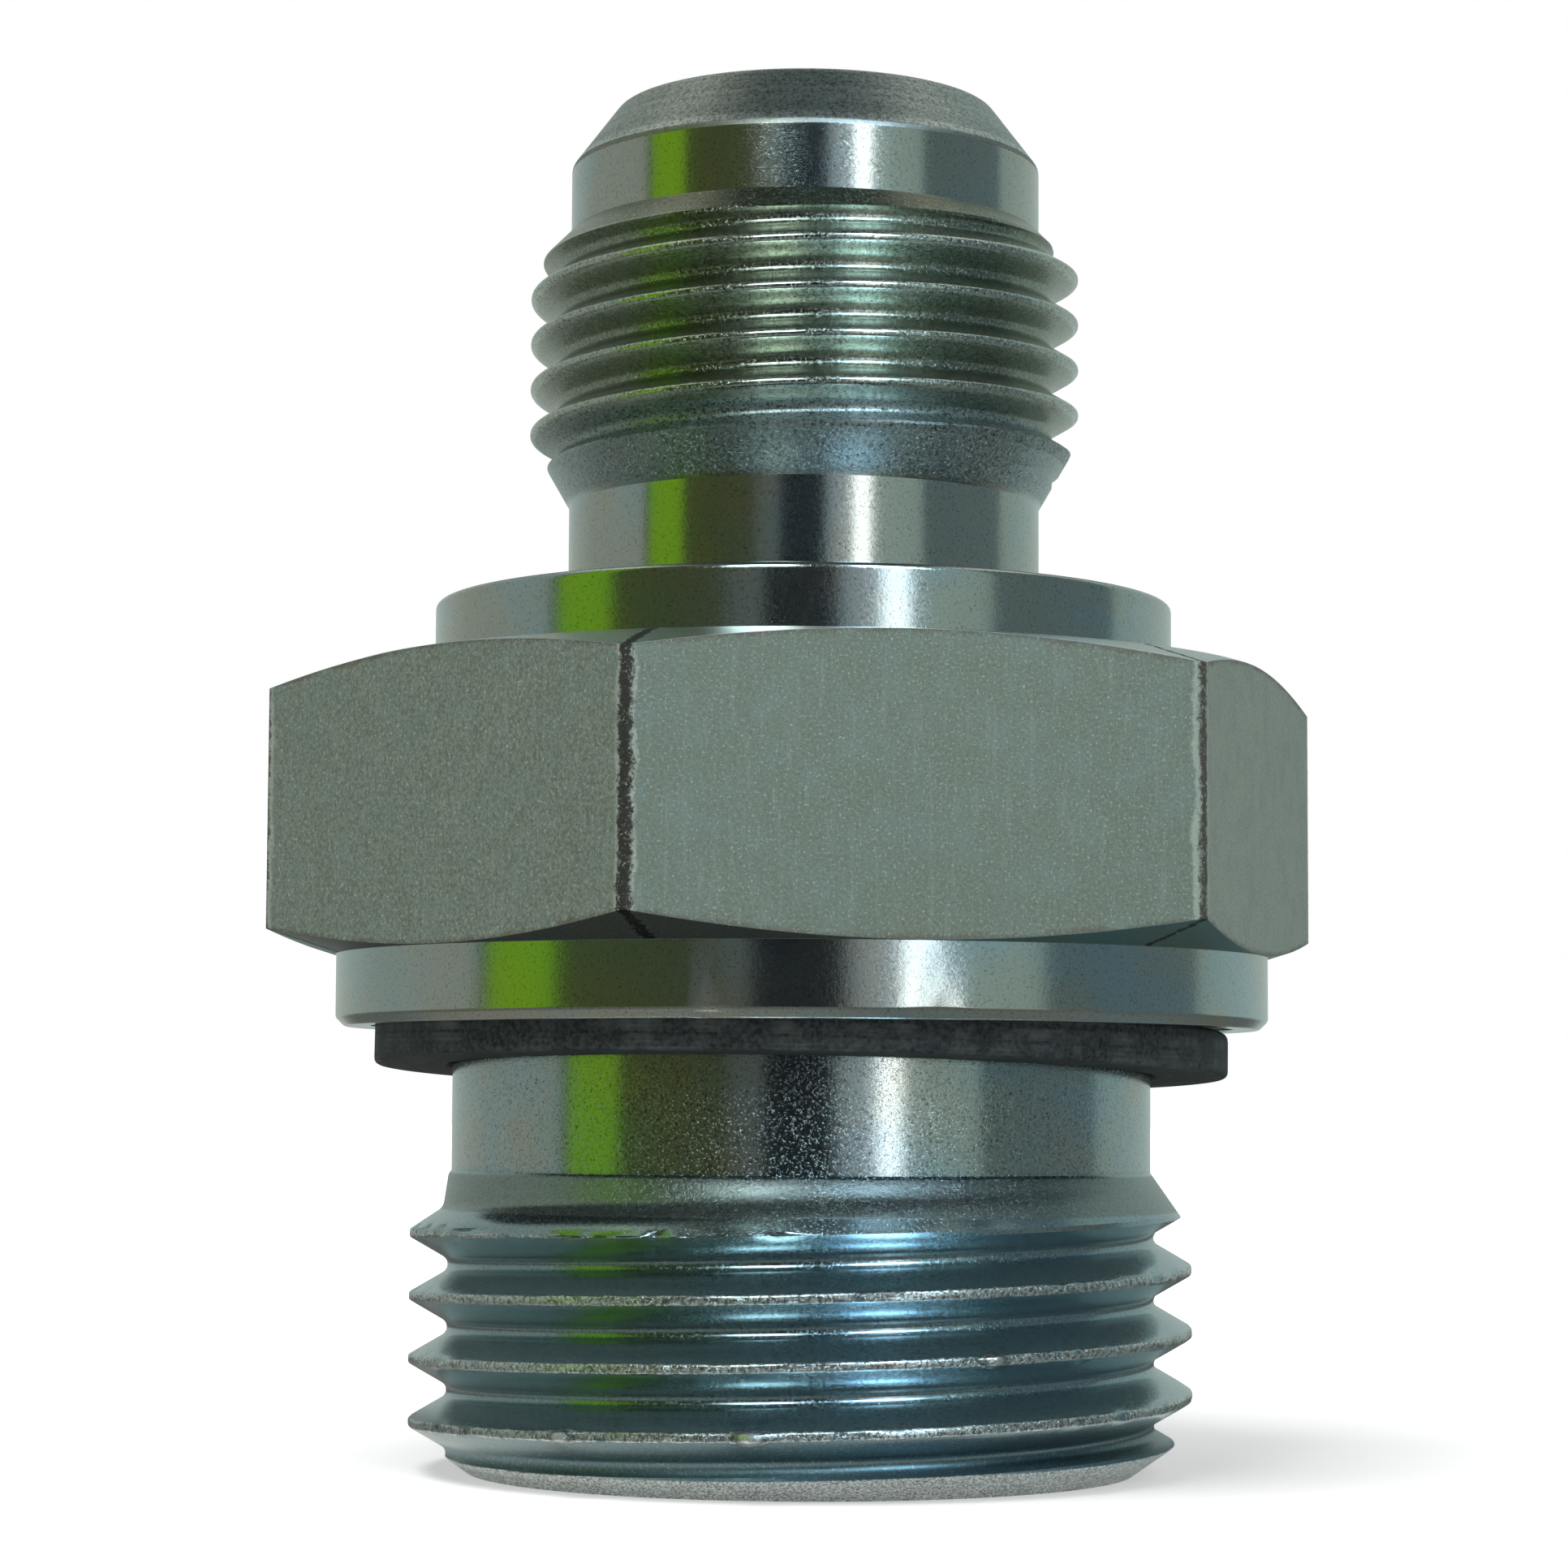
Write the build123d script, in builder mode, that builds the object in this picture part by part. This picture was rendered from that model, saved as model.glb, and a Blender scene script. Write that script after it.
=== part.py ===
"""Straight hydraulic adapter, turned from hexagon bar, with its captive face seal ring.

The axis is Z and the origin is the centre of the stud end face, on which the part stands.
From the bottom up: a parallel stud thread with its run-out neck, a collar whose underside
takes the seal ring, the spanner hexagon, a second collar, a relief neck, the tube-end
thread and the 37 degree flare nose.  All sizes are in millimetres and degrees.
"""

import os
from math import cos, radians, sin, tan

from build123d import *

# Threads
stud_thread_diameter = 26.7       # 1-1/16-12 UN-2A
stud_threads_per_inch = 12
tube_thread_diameter = 19.05      # 3/4-16 UNF
tube_threads_per_inch = 16

# Heights along the axis, each one a length of its own
stud_length = 10.15               # end face to the top of the run-out cone
stud_neck_length = 4.85           # run-out cone to the sealing face of the collar
collar_length = 2.43              # sealing face to the foot of the hexagon
hexagon_length = 9.62
upper_collar_length = 2.47
relief_neck_length = 3.48
tube_thread_length = 9.56         # top of the relief neck to the top of the thread chamfer
nose_cylinder_length = 2.29

# Radial steps and widths
stud_chamfer_width = 2.0
stud_neck_undercut = 0.1          # thread root to neck
relief_neck_undercut = 0.4        # thread root to relief neck and nose
collar_lip_width = 1.15           # outside the seal recess
hexagon_step = 0.052              # collar to the flats of the hexagon, 32 mm across
upper_collar_diameter = 25.4
nose_land_width = 1.08            # flat end of the nose round the bore mouth

# Angles from the axis, and where each thread's first crest stands on the +X side
stud_chamfer_angle = 55
runout_angle = 35
relief_angle = 30
nose_chamfer_angle = 45
flare_angle = 37
hexagon_chamfer_angle = 72.5
stud_crest_height = 0.65
tube_crest_height = 1.749         # above the top of the relief neck
tube_thread_start = 125           # where the tool leaves the metal, from +X

# Edge breaks
collar_bevel = 0.3
upper_collar_break = 0.2
hexagon_corner_round = 0.2

# Flow passage
tube_bore_diameter = 9.9
stud_bore_diameter = 15.5
stud_bore_depth = 27.0
drill_point_angle = 59
bore_mouth_chamfer = 0.5

# Face seal ring, hanging a little askew in the recess of the collar
seal_width = 2.54                 # outer diameter 29.2
seal_thickness = 1.5
seal_edge_break = 0.15            # on its outer edges
seal_tilt = 2.2                   # degrees off square
seal_tilt_direction = -122        # where its high side points, from +X
seal_neck_clearance = 0.04
seal_recess_clearance = 0.2
seal_floor_clearance = 0.03

MM_PER_INCH = 25.4
FLANK_ANGLE = 30                  # half of the 60 degree thread form
CREST_FLAT = 1 / 8                # of the pitch
ROOT_FLAT = 1 / 6                 # of the pitch
CUTTER_RELIEF = 0.4               # of the crest flat, left between two turns of the cutter
OUTLINE_CLEARANCE = 0.3           # turned outline to thread crest
HEXAGON_SIDES = 6


def rise(radial_step, angle_from_axis):
    """Height that a cone of this angle gains while its radius changes by radial_step."""
    return radial_step / tan(radians(angle_from_axis))


def thread_depth(pitch):
    """Depth of a 60 degree thread between its crest flat and its root flat."""
    return rise(pitch * (1 - CREST_FLAT - ROOT_FLAT) / 2, FLANK_ANGLE)


# Radii, each stepped from the one that it has to clear or carry
stud_pitch = MM_PER_INCH / stud_threads_per_inch
stud_thread_radius = stud_thread_diameter / 2
stud_tip_radius = stud_thread_radius - stud_chamfer_width
stud_neck_radius = stud_thread_radius - thread_depth(stud_pitch) - stud_neck_undercut
stud_bore_radius = stud_bore_diameter / 2
tube_pitch = MM_PER_INCH / tube_threads_per_inch
tube_thread_radius = tube_thread_diameter / 2
relief_neck_radius = tube_thread_radius - thread_depth(tube_pitch) - relief_neck_undercut
tube_bore_radius = tube_bore_diameter / 2
nose_tip_radius = tube_bore_radius + bore_mouth_chamfer + nose_land_width
upper_collar_radius = upper_collar_diameter / 2

# Seal ring: its middle lies level with the sealing face, its high side in the recess
seal_bore_radius = (
    stud_neck_radius / cos(radians(seal_tilt))
    + seal_thickness * tan(radians(seal_tilt))
    + seal_neck_clearance
)
seal_outer_radius = seal_bore_radius + seal_width
seal_recess_radius = seal_outer_radius + seal_recess_clearance
seal_recess_depth = seal_outer_radius * sin(radians(seal_tilt)) + seal_floor_clearance
seal_axis = Vector(0, 0, 1).rotate(
    Axis((0, 0, 0), (sin(radians(seal_tilt_direction)), -cos(radians(seal_tilt_direction)), 0)),
    seal_tilt,
)
collar_radius = seal_recess_radius + collar_lip_width
corner_radius = (collar_radius + hexagon_step) / cos(radians(180 / HEXAGON_SIDES))

# Heights of the shoulders, counted up from the end face
stud_neck_z = stud_length
sealing_face_z = stud_neck_z + stud_neck_length
hexagon_foot_z = sealing_face_z + collar_length
hexagon_top_z = hexagon_foot_z + hexagon_length
upper_collar_z = hexagon_top_z + upper_collar_length
relief_z = upper_collar_z + relief_neck_length
nose_z = relief_z + tube_thread_length
flare_z = nose_z + nose_cylinder_length
overall_length = flare_z + rise(relief_neck_radius - nose_tip_radius, flare_angle)


def thread_groove(radius, pitch):
    """Section of one thread groove at the +X side: 60 degree flanks and a flat root."""
    root = pitch * ROOT_FLAT / 2
    mouth = pitch * (1 - CREST_FLAT * CUTTER_RELIEF) / 2
    root_radius = radius - thread_depth(pitch)
    cutter_radius = root_radius + rise(mouth - root, FLANK_ANGLE)
    with BuildSketch(Plane.XZ) as section:
        with BuildLine():
            Polyline(
                (root_radius, root),
                (cutter_radius, mouth),
                (cutter_radius, -mouth),
                (root_radius, -root),
                close=True,
            )
        make_face()
    return section.sketch


def groove_cutter(radius, pitch, start_z, start_angle, end_z):
    """Right-hand helical cutter that enters the metal along the tangent at its start."""
    groove = thread_groove(radius, pitch)
    with BuildPart() as cutter:
        with BuildLine() as path:
            Helix(pitch=pitch, height=end_z - start_z, radius=radius)
        sweep(groove, path=path.line, is_frenet=True)
        extrude(groove, amount=radius / 2, dir=-(path.line % 0))
    return cutter.part.moved(Location((0, 0, start_z), (0, 0, start_angle)))


with BuildPart() as adapter_body:
    # Stud rod, threaded from the second valley below its first crest to the middle of the neck
    stud_thread_start_z = stud_crest_height - stud_pitch * 3 / 2
    stud_rod_start_z = stud_thread_start_z - stud_pitch
    with BuildSketch(Plane.XY.offset(stud_rod_start_z)):
        Circle(stud_thread_radius)
    extrude(amount=sealing_face_z - stud_rod_start_z)
    add(
        groove_cutter(
            stud_thread_radius,
            stud_pitch,
            stud_thread_start_z,
            0,
            stud_neck_z + stud_neck_length / 2,
        ),
        mode=Mode.SUBTRACT,
    )

    # Tube-end rod, threaded from the relief cone to the nose
    tube_valley_z = relief_z + tube_crest_height - tube_pitch / 2
    with BuildSketch(Plane.XY.offset(upper_collar_z)):
        Circle(tube_thread_radius)
    extrude(amount=overall_length - upper_collar_z)
    add(
        groove_cutter(
            tube_thread_radius,
            tube_pitch,
            tube_valley_z + tube_pitch * tube_thread_start / 360,
            tube_thread_start,
            flare_z,
        ),
        mode=Mode.SUBTRACT,
    )

    # Hexagon bar stock between them
    with BuildSketch(Plane.XY.offset(sealing_face_z)) as bar:
        RegularPolygon(radius=corner_radius, side_count=HEXAGON_SIDES)
        fillet(bar.vertices(), radius=hexagon_corner_round)
    extrude(amount=upper_collar_z - sealing_face_z)

    # Turned outline; over the threads it stands clear of their crests
    stud_clear_radius = stud_thread_radius + OUTLINE_CLEARANCE
    tube_clear_radius = tube_thread_radius + OUTLINE_CLEARANCE
    with BuildSketch(Plane.XZ):
        with BuildLine():
            Polyline(
                (0, 0),
                (stud_tip_radius, 0),
                (stud_clear_radius, rise(stud_clear_radius - stud_tip_radius, stud_chamfer_angle)),
                (
                    stud_clear_radius,
                    stud_neck_z - rise(stud_clear_radius - stud_neck_radius, runout_angle),
                ),
                (stud_neck_radius, stud_neck_z),
                (stud_neck_radius, sealing_face_z),
                (collar_radius - collar_bevel, sealing_face_z),
                (collar_radius, sealing_face_z + collar_bevel),
                (collar_radius, hexagon_foot_z),
                (
                    corner_radius,
                    hexagon_foot_z + rise(corner_radius - collar_radius, hexagon_chamfer_angle),
                ),
                (
                    corner_radius,
                    hexagon_top_z - rise(corner_radius - collar_radius, hexagon_chamfer_angle),
                ),
                (collar_radius, hexagon_top_z),
                (upper_collar_radius, hexagon_top_z),
                (upper_collar_radius, upper_collar_z - upper_collar_break),
                (upper_collar_radius - upper_collar_break, upper_collar_z),
                (relief_neck_radius, upper_collar_z),
                (relief_neck_radius, relief_z),
                (
                    tube_clear_radius,
                    relief_z + rise(tube_clear_radius - relief_neck_radius, relief_angle),
                ),
                (
                    tube_clear_radius,
                    nose_z - rise(tube_clear_radius - relief_neck_radius, nose_chamfer_angle),
                ),
                (relief_neck_radius, nose_z),
                (relief_neck_radius, flare_z),
                (nose_tip_radius, overall_length),
                (0, overall_length),
                close=True,
            )
        make_face()
    revolve(axis=Axis.Z, mode=Mode.INTERSECT)

    # Recess in the sealing face for the seal ring
    with BuildSketch(Plane.XY.offset(sealing_face_z)):
        Circle(seal_recess_radius)
        Circle(stud_neck_radius, mode=Mode.SUBTRACT)
    extrude(amount=seal_recess_depth, mode=Mode.SUBTRACT)

    # Stepped flow passage: a drilled stud bore that ends in a drill point at the tube bore
    with BuildSketch(Plane.XZ):
        with BuildLine():
            Polyline(
                (0, 0),
                (stud_bore_radius + bore_mouth_chamfer, 0),
                (stud_bore_radius, bore_mouth_chamfer),
                (stud_bore_radius, stud_bore_depth),
                (
                    tube_bore_radius,
                    stud_bore_depth + rise(stud_bore_radius - tube_bore_radius, drill_point_angle),
                ),
                (tube_bore_radius, overall_length - bore_mouth_chamfer),
                (tube_bore_radius + bore_mouth_chamfer, overall_length),
                (0, overall_length),
                close=True,
            )
        make_face()
    revolve(axis=Axis.Z, mode=Mode.SUBTRACT)

with BuildPart() as face_seal_ring:
    seal_plane = Plane(origin=(0, 0, sealing_face_z), z_dir=seal_axis)
    with BuildSketch(seal_plane):
        Circle(seal_outer_radius)
        Circle(seal_bore_radius, mode=Mode.SUBTRACT)
    extrude(amount=-seal_thickness)
    outer_edges = face_seal_ring.edges().filter_by(GeomType.CIRCLE).group_by(SortBy.RADIUS)[-1]
    chamfer(outer_edges, length=seal_edge_break)

adapter_body.part.label = "adapter_body"
face_seal_ring.part.label = "face_seal_ring"

os.makedirs("parts", exist_ok=True)
export_step(adapter_body.part, "parts/adapter_body.step")
export_step(face_seal_ring.part, "parts/face_seal_ring.step")
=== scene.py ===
"""Face seal fitting: a turned, zinc plated hydraulic adapter and its black face seal ring.

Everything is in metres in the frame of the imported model; the values below are in
millimetres and degrees, as a turner reads them.  The body and the ring are turned by one
Geometry Nodes tree, which spins a drawn outline round the axis, leads the thread rows up
their helix and pulls the bar-stock rows out to the hexagon.
"""

import math
from types import SimpleNamespace

import bpy
from mathutils import Matrix, Vector


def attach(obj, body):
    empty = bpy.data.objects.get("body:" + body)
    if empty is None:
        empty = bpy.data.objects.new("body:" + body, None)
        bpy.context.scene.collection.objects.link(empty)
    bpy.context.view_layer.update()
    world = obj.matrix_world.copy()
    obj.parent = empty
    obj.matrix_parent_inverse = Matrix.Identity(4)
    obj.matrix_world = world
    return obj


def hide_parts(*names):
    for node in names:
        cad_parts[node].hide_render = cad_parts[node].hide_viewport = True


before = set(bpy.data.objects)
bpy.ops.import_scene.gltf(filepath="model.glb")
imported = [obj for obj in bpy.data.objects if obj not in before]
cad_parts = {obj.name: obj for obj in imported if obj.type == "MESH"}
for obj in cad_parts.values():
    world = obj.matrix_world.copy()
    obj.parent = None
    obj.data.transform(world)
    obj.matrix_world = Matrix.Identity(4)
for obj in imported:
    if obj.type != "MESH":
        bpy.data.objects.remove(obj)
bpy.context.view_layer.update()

MM = 0.001
CORNERS = 6
SIXTH = math.radians(360 / CORNERS)
STUD = 1                          # the mark of a row on the stud thread
TUBE = 2                          # and on the tube thread
SAME = 0.1                        # marks closer than this are the same

# ---------------------------------------------------------------- sizes of the fitting
STUD_THREAD_RADIUS = 13.35
STUD_PITCH = 25.4 / 12
STUD_CREST_HEIGHT = 0.65
STUD_ROOT_ROUND = 0.1443          # root radius for a pitch of 1
STUD_CREST_BREAK = 0.07
STUD_TIP_RADIUS = 11.35
STUD_CHAMFER_ANGLE = 55
STUD_ROOT_RADIUS = 12.052
STUD_NECK_RADIUS = 11.952
STUD_LENGTH = 10.15
STUD_LAST_CREST = 3               # the last full crest at +X; the groove above it dies out
STUD_RUNOUT_ANGLE = 35
STUD_BORE_RADIUS = 7.75
STUD_BORE_DEPTH = 27.0
RELIEF_ANGLE = 30

SEALING_FACE_Z = 15.0
COLLAR_RADIUS = 15.948
COLLAR_BEVEL = 0.3
HEXAGON_FOOT_Z = 17.43
HEXAGON_TOP_Z = 27.05
HEXAGON_HALF_WIDTH = 16.0
HEXAGON_CHAMFER_ANGLE = 72.5
HEXAGON_CORNER_BREAK = 0.058
UPPER_COLLAR_RADIUS = 12.7
UPPER_COLLAR_Z = 29.52
UPPER_COLLAR_BEVEL = 0.12

TUBE_THREAD_RADIUS = 9.525
TUBE_PITCH = 25.4 / 16
TUBE_CREST_HEIGHT = 34.749
TUBE_ROOT_ROUND = 0.18            # root radius for a pitch of 1
TUBE_CREST_BREAK = 0.09
RELIEF_RADIUS = 8.151
RELIEF_Z = 33.0
NOSE_Z = 42.56
NOSE_CHAMFER_ANGLE = 45
FLARE_Z = 44.85
NOSE_TIP_RADIUS = 6.53
OVERALL_LENGTH = 47.0014
TUBE_BORE_RADIUS = 4.95
DRILL_STEP_Z = 28.68
BORE_CHAMFER = 0.5

SEAL_BORE_RADIUS = 12.058
SEAL_OUTER_RADIUS = 14.598
SEAL_THICKNESS = 1.5
SEAL_TILT = 2.2
SEAL_TILT_DIRECTION = -122
RECESS_RADIUS = 14.798
RECESS_Z = 15.59

# ---------------------------------------------------------------- fineness of the meshes
COLUMNS = 252                     # round the axis, a multiple of the six corners
COLUMN_CROWDING = 0.72            # how far the columns draw together at the corners
MERGE_DISTANCE = 1e-7
SHARP_ANGLE = 26
HOLD = 0.03                       # extra row beside a rounded corner, which keeps the wall flat
BEND_SHARES = (0, 0.25, 0.5, 0.75, 1)
FLANK_ROWS = 4
ROOT_SWINGS = (60, 40, 20)        # degrees round the root, from the flank to the middle
CHAMFER_ROWS = 4
BAR_EDGE = 0.07                   # rows this close to the hexagon's chamfers keep them crisp
BAR_SHARES = (0.1, 0.25, 0.5, 0.75, 0.9)
COLLAR_WALL_GAP = 0.12            # from the last plain row of the collar up to the hexagon
TOP_FACE_GAP = 0.05               # from the hexagon's last row in to the flat top face


# ---------------------------------------------------------------- node writing
class Value:
    """A float socket on which Python operators write Math nodes."""

    def __init__(self, shop, socket):
        self.shop = shop
        self.socket = socket

    def __add__(self, other):
        return self.shop.math("ADD", self, other)

    __radd__ = __add__

    def __sub__(self, other):
        return self.shop.math("SUBTRACT", self, other)

    def __rsub__(self, other):
        return self.shop.math("SUBTRACT", other, self)

    def __mul__(self, other):
        return self.shop.math("MULTIPLY", self, other)

    __rmul__ = __mul__

    def __truediv__(self, other):
        return self.shop.math("DIVIDE", self, other)

    def __rtruediv__(self, other):
        return self.shop.math("DIVIDE", other, self)

    def __mod__(self, other):
        return self.shop.math("FLOORED_MODULO", self, other)

    def __gt__(self, other):
        return self.shop.math("GREATER_THAN", self, other)

    def abs(self):
        return self.shop.math("ABSOLUTE", self)

    def min(self, other):
        return self.shop.math("MINIMUM", self, other)

    def max(self, other):
        return self.shop.math("MAXIMUM", self, other)

    def window(self, low, high, soft):
        """1 between low and high, falling to 0 over soft on either side."""
        return self.ramp(low - soft, low) * self.ramp(high + soft, high)

    def ramp(self, zero, one):
        """0 at zero and 1 at one, held beyond both."""
        node = self.shop.node(
            "ShaderNodeMapRange",
            {"interpolation_type": "SMOOTHSTEP"},
            {"Value": self, "From Min": zero, "From Max": one},
        )
        return Value(self.shop, node.outputs["Result"])


class Shop:
    """Writes the nodes of one tree."""

    def __init__(self, tree):
        self.tree = tree

    def node(self, kind, settings=None, sockets=None):
        made = self.tree.nodes.new(kind)
        for name, setting in (settings or {}).items():
            if name == "stops":
                self.set_stops(made.color_ramp, setting)
            else:
                setattr(made, name, setting)
        for name, given in (sockets or {}).items():
            self.feed(made.inputs[name], given)
        return made

    def feed(self, socket, given):
        if isinstance(given, Value):
            given = given.socket
        if isinstance(given, bpy.types.NodeSocket):
            self.tree.links.new(given, socket)
        else:
            socket.default_value = given

    def set_stops(self, ramp, stops):
        while len(ramp.elements) < len(stops):
            ramp.elements.new(0.5)
        for element, (place, colour) in zip(ramp.elements, stops):
            element.position = place
            element.color = (*colour, 1)

    def math(self, operation, *given):
        made = self.node("ShaderNodeMath", {"operation": operation}, dict(enumerate(given)))
        return Value(self, made.outputs[0])

    def distance(self, across, along):
        return self.math("SQRT", across * across + along * along)

    def colour_mix(self, factor, first, second):
        made = self.node("ShaderNodeMix", {"data_type": "RGBA"},
                         {0: factor, 6: first, 7: second})
        return made.outputs[2]

    def layered(self, film, layers):
        """The film with each layer (share, colour) laid over it in turn."""
        for share, colour in layers:
            film = self.colour_mix(share, film, colour)
        return film

    def noise(self, place, scale, detail, roughness):
        made = self.node("ShaderNodeTexNoise", {},
                         {"Vector": place, "Scale": scale, "Detail": detail,
                          "Roughness": roughness})
        return Value(self, made.outputs[0])

    def vector(self, x, y, z):
        return self.node("ShaderNodeCombineXYZ", {}, {"X": x, "Y": y, "Z": z}).outputs[0]

    def parts(self, vector):
        made = self.node("ShaderNodeSeparateXYZ", {}, {0: vector})
        return [Value(self, socket) for socket in made.outputs]


def rgb(red, green, blue):
    """A colour socket's value from linear red, green and blue."""
    return (red, green, blue, 1)


# ---------------------------------------------------------------- the turned outline
def rounded(points):
    """Outline (radius, height, break) with each corner rounded by its break."""
    path = []
    for place, (radius, height, size) in enumerate(points):
        here = Vector((radius, height))
        if size == 0 or place in (0, len(points) - 1):
            path.append(tuple(here))
            continue
        before = Vector(points[place - 1][:2]) - here
        after = Vector(points[place + 1][:2]) - here
        start = here + before.normalized() * min(size, before.length / 3)
        end = here + after.normalized() * min(size, after.length / 3)
        path.append(tuple(start + before.normalized() * HOLD))
        for share in BEND_SHARES:
            first = start.lerp(here, share)
            second = here.lerp(end, share)
            path.append(tuple(first.lerp(second, share)))
        path.append(tuple(end + after.normalized() * HOLD))
    return path


def thread_form(pitch, root_round, crest_break):
    """One pitch of the 60 degree thread from crest to crest: (height, depth below crest)."""
    slope = math.tan(math.radians(30))
    root_radius = root_round * pitch
    apex_depth = 7 / 8 * pitch * math.sqrt(3) / 2
    tangent_depth = apex_depth - 1.5 * root_radius
    crest_half = pitch / 16
    side = [
        (crest_half - crest_break, 0),
        (crest_half - crest_break * 0.35, crest_break * 0.12),
        (crest_half + crest_break * 0.2, crest_break * 0.5),
    ]
    flank_height = crest_half + crest_break * slope
    for step in range(FLANK_ROWS):
        share = step / FLANK_ROWS
        depth = crest_break + (tangent_depth - crest_break) * share
        height = flank_height + (depth - crest_break) * slope
        side.append((height, depth))
    for degrees in ROOT_SWINGS:
        swing = math.radians(degrees)
        height = pitch / 2 - root_radius * math.sin(swing)
        depth = apex_depth - 2 * root_radius + root_radius * math.cos(swing)
        side.append((height, depth))
    root = (pitch / 2, apex_depth - root_radius)
    return side + [root] + [(pitch - height, depth) for height, depth in reversed(side)]


def thread_rows(radius, pitch, crest, foot, head, form):
    """Rows of a thread at the +X side, from a pitch below its foot to its head."""
    rows = []
    number = math.floor((foot - pitch - crest) / pitch)
    while crest + number * pitch < head:
        for height, depth in form:
            z = crest + number * pitch + height
            if foot - pitch <= z <= head:
                rows.append((radius - depth, z))
        number += 1
    return rows


def row(radius, height, thread=0, hexagon=0, rise=0, tail=0):
    """A row of the outline; thread says which thread it is on, if any."""
    return (radius, height, thread, hexagon, rise, tail)


def plain_rows(*points):
    """Rows of plain turning through points of (radius, height, break)."""
    return [row(*place) for place in rounded(points)]


def stud_mouth_rows():
    return plain_rows(
        (STUD_BORE_RADIUS, STUD_BORE_DEPTH / 2, 0),
        (STUD_BORE_RADIUS, BORE_CHAMFER, 0.1),
        (STUD_BORE_RADIUS + BORE_CHAMFER, 0, 0.06),
        (STUD_TIP_RADIUS, 0, 0),
    )


def stud_thread_rows():
    """The stud thread, with the rows above its last full crest marked as its tail."""
    last_flank = STUD_CREST_HEIGHT + STUD_PITCH * (STUD_LAST_CREST + 1 / 16)
    last_valley = STUD_CREST_HEIGHT + STUD_PITCH * (STUD_LAST_CREST + 1 / 2)
    form = thread_form(STUD_PITCH, STUD_ROOT_ROUND, STUD_CREST_BREAK)
    rows = []
    for radius, height in thread_rows(STUD_THREAD_RADIUS, STUD_PITCH, STUD_CREST_HEIGHT,
                                      0, STUD_LENGTH, form):
        tail = (height > last_flank) + (height > last_valley)
        rows.append(row(radius, height, thread=STUD, tail=tail))
    return rows


def collar_rows():
    """The neck, the recess for the seal ring and the wide collar."""
    return plain_rows(
        (STUD_NECK_RADIUS, STUD_LENGTH, 0),
        (STUD_NECK_RADIUS, RECESS_Z, 0.2),
        (RECESS_RADIUS, RECESS_Z, 0.1),
        (RECESS_RADIUS, SEALING_FACE_Z, 0.05),
        (COLLAR_RADIUS - COLLAR_BEVEL, SEALING_FACE_Z, 0.08),
        (COLLAR_RADIUS, SEALING_FACE_Z + COLLAR_BEVEL, 0.08),
        (COLLAR_RADIUS, HEXAGON_FOOT_Z - COLLAR_WALL_GAP, 0),
    )


def bar_rows():
    """The bar stock between its chamfers, which the lathe pulls out from the collar."""
    length = HEXAGON_TOP_Z - HEXAGON_FOOT_Z
    shares = [step / CHAMFER_ROWS for step in range(CHAMFER_ROWS + 1)]
    heights = [BAR_EDGE * 0.4, BAR_EDGE, *(length * share for share in BAR_SHARES),
               length - BAR_EDGE, length - BAR_EDGE * 0.4]
    foot = [row(COLLAR_RADIUS, HEXAGON_FOOT_Z, hexagon=share, rise=share) for share in shares]
    flats = [row(COLLAR_RADIUS, HEXAGON_FOOT_Z + height, hexagon=1, rise=1 - 2 * height / length)
             for height in heights]
    top = [row(COLLAR_RADIUS, HEXAGON_TOP_Z, hexagon=share, rise=-share)
           for share in reversed(shares)]
    return foot + flats + top


def upper_collar_rows():
    return plain_rows(
        (COLLAR_RADIUS - TOP_FACE_GAP, HEXAGON_TOP_Z, 0),
        (UPPER_COLLAR_RADIUS, HEXAGON_TOP_Z, 0.15),
        (UPPER_COLLAR_RADIUS, UPPER_COLLAR_Z - UPPER_COLLAR_BEVEL, 0.12),
        (UPPER_COLLAR_RADIUS - UPPER_COLLAR_BEVEL, UPPER_COLLAR_Z, 0.12),
        (RELIEF_RADIUS, UPPER_COLLAR_Z, 0.25),
        (RELIEF_RADIUS, RELIEF_Z, 0),
    )


def tube_thread_rows():
    form = thread_form(TUBE_PITCH, TUBE_ROOT_ROUND, TUBE_CREST_BREAK)
    return [row(*place, thread=TUBE) for place in thread_rows(
        TUBE_THREAD_RADIUS, TUBE_PITCH, TUBE_CREST_HEIGHT, RELIEF_Z, NOSE_Z, form)]


def nose_rows():
    """The nose, the flare cone and the stepped passage back to the middle of the bore."""
    return plain_rows(
        (RELIEF_RADIUS, NOSE_Z, 0),
        (RELIEF_RADIUS, FLARE_Z, 0.12),
        (NOSE_TIP_RADIUS, OVERALL_LENGTH, 0.2),
        (TUBE_BORE_RADIUS + BORE_CHAMFER, OVERALL_LENGTH, 0.1),
        (TUBE_BORE_RADIUS, OVERALL_LENGTH - BORE_CHAMFER, 0.1),
        (TUBE_BORE_RADIUS, DRILL_STEP_Z, 0.1),
        (STUD_BORE_RADIUS, STUD_BORE_DEPTH, 0.1),
        (STUD_BORE_RADIUS, STUD_BORE_DEPTH / 2, 0),
    )


def body_rows():
    """The whole closed section of the body, from the stud bore outwards, up and back in."""
    return (stud_mouth_rows() + stud_thread_rows() + collar_rows() + bar_rows()
            + upper_collar_rows() + tube_thread_rows() + nose_rows())


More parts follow.
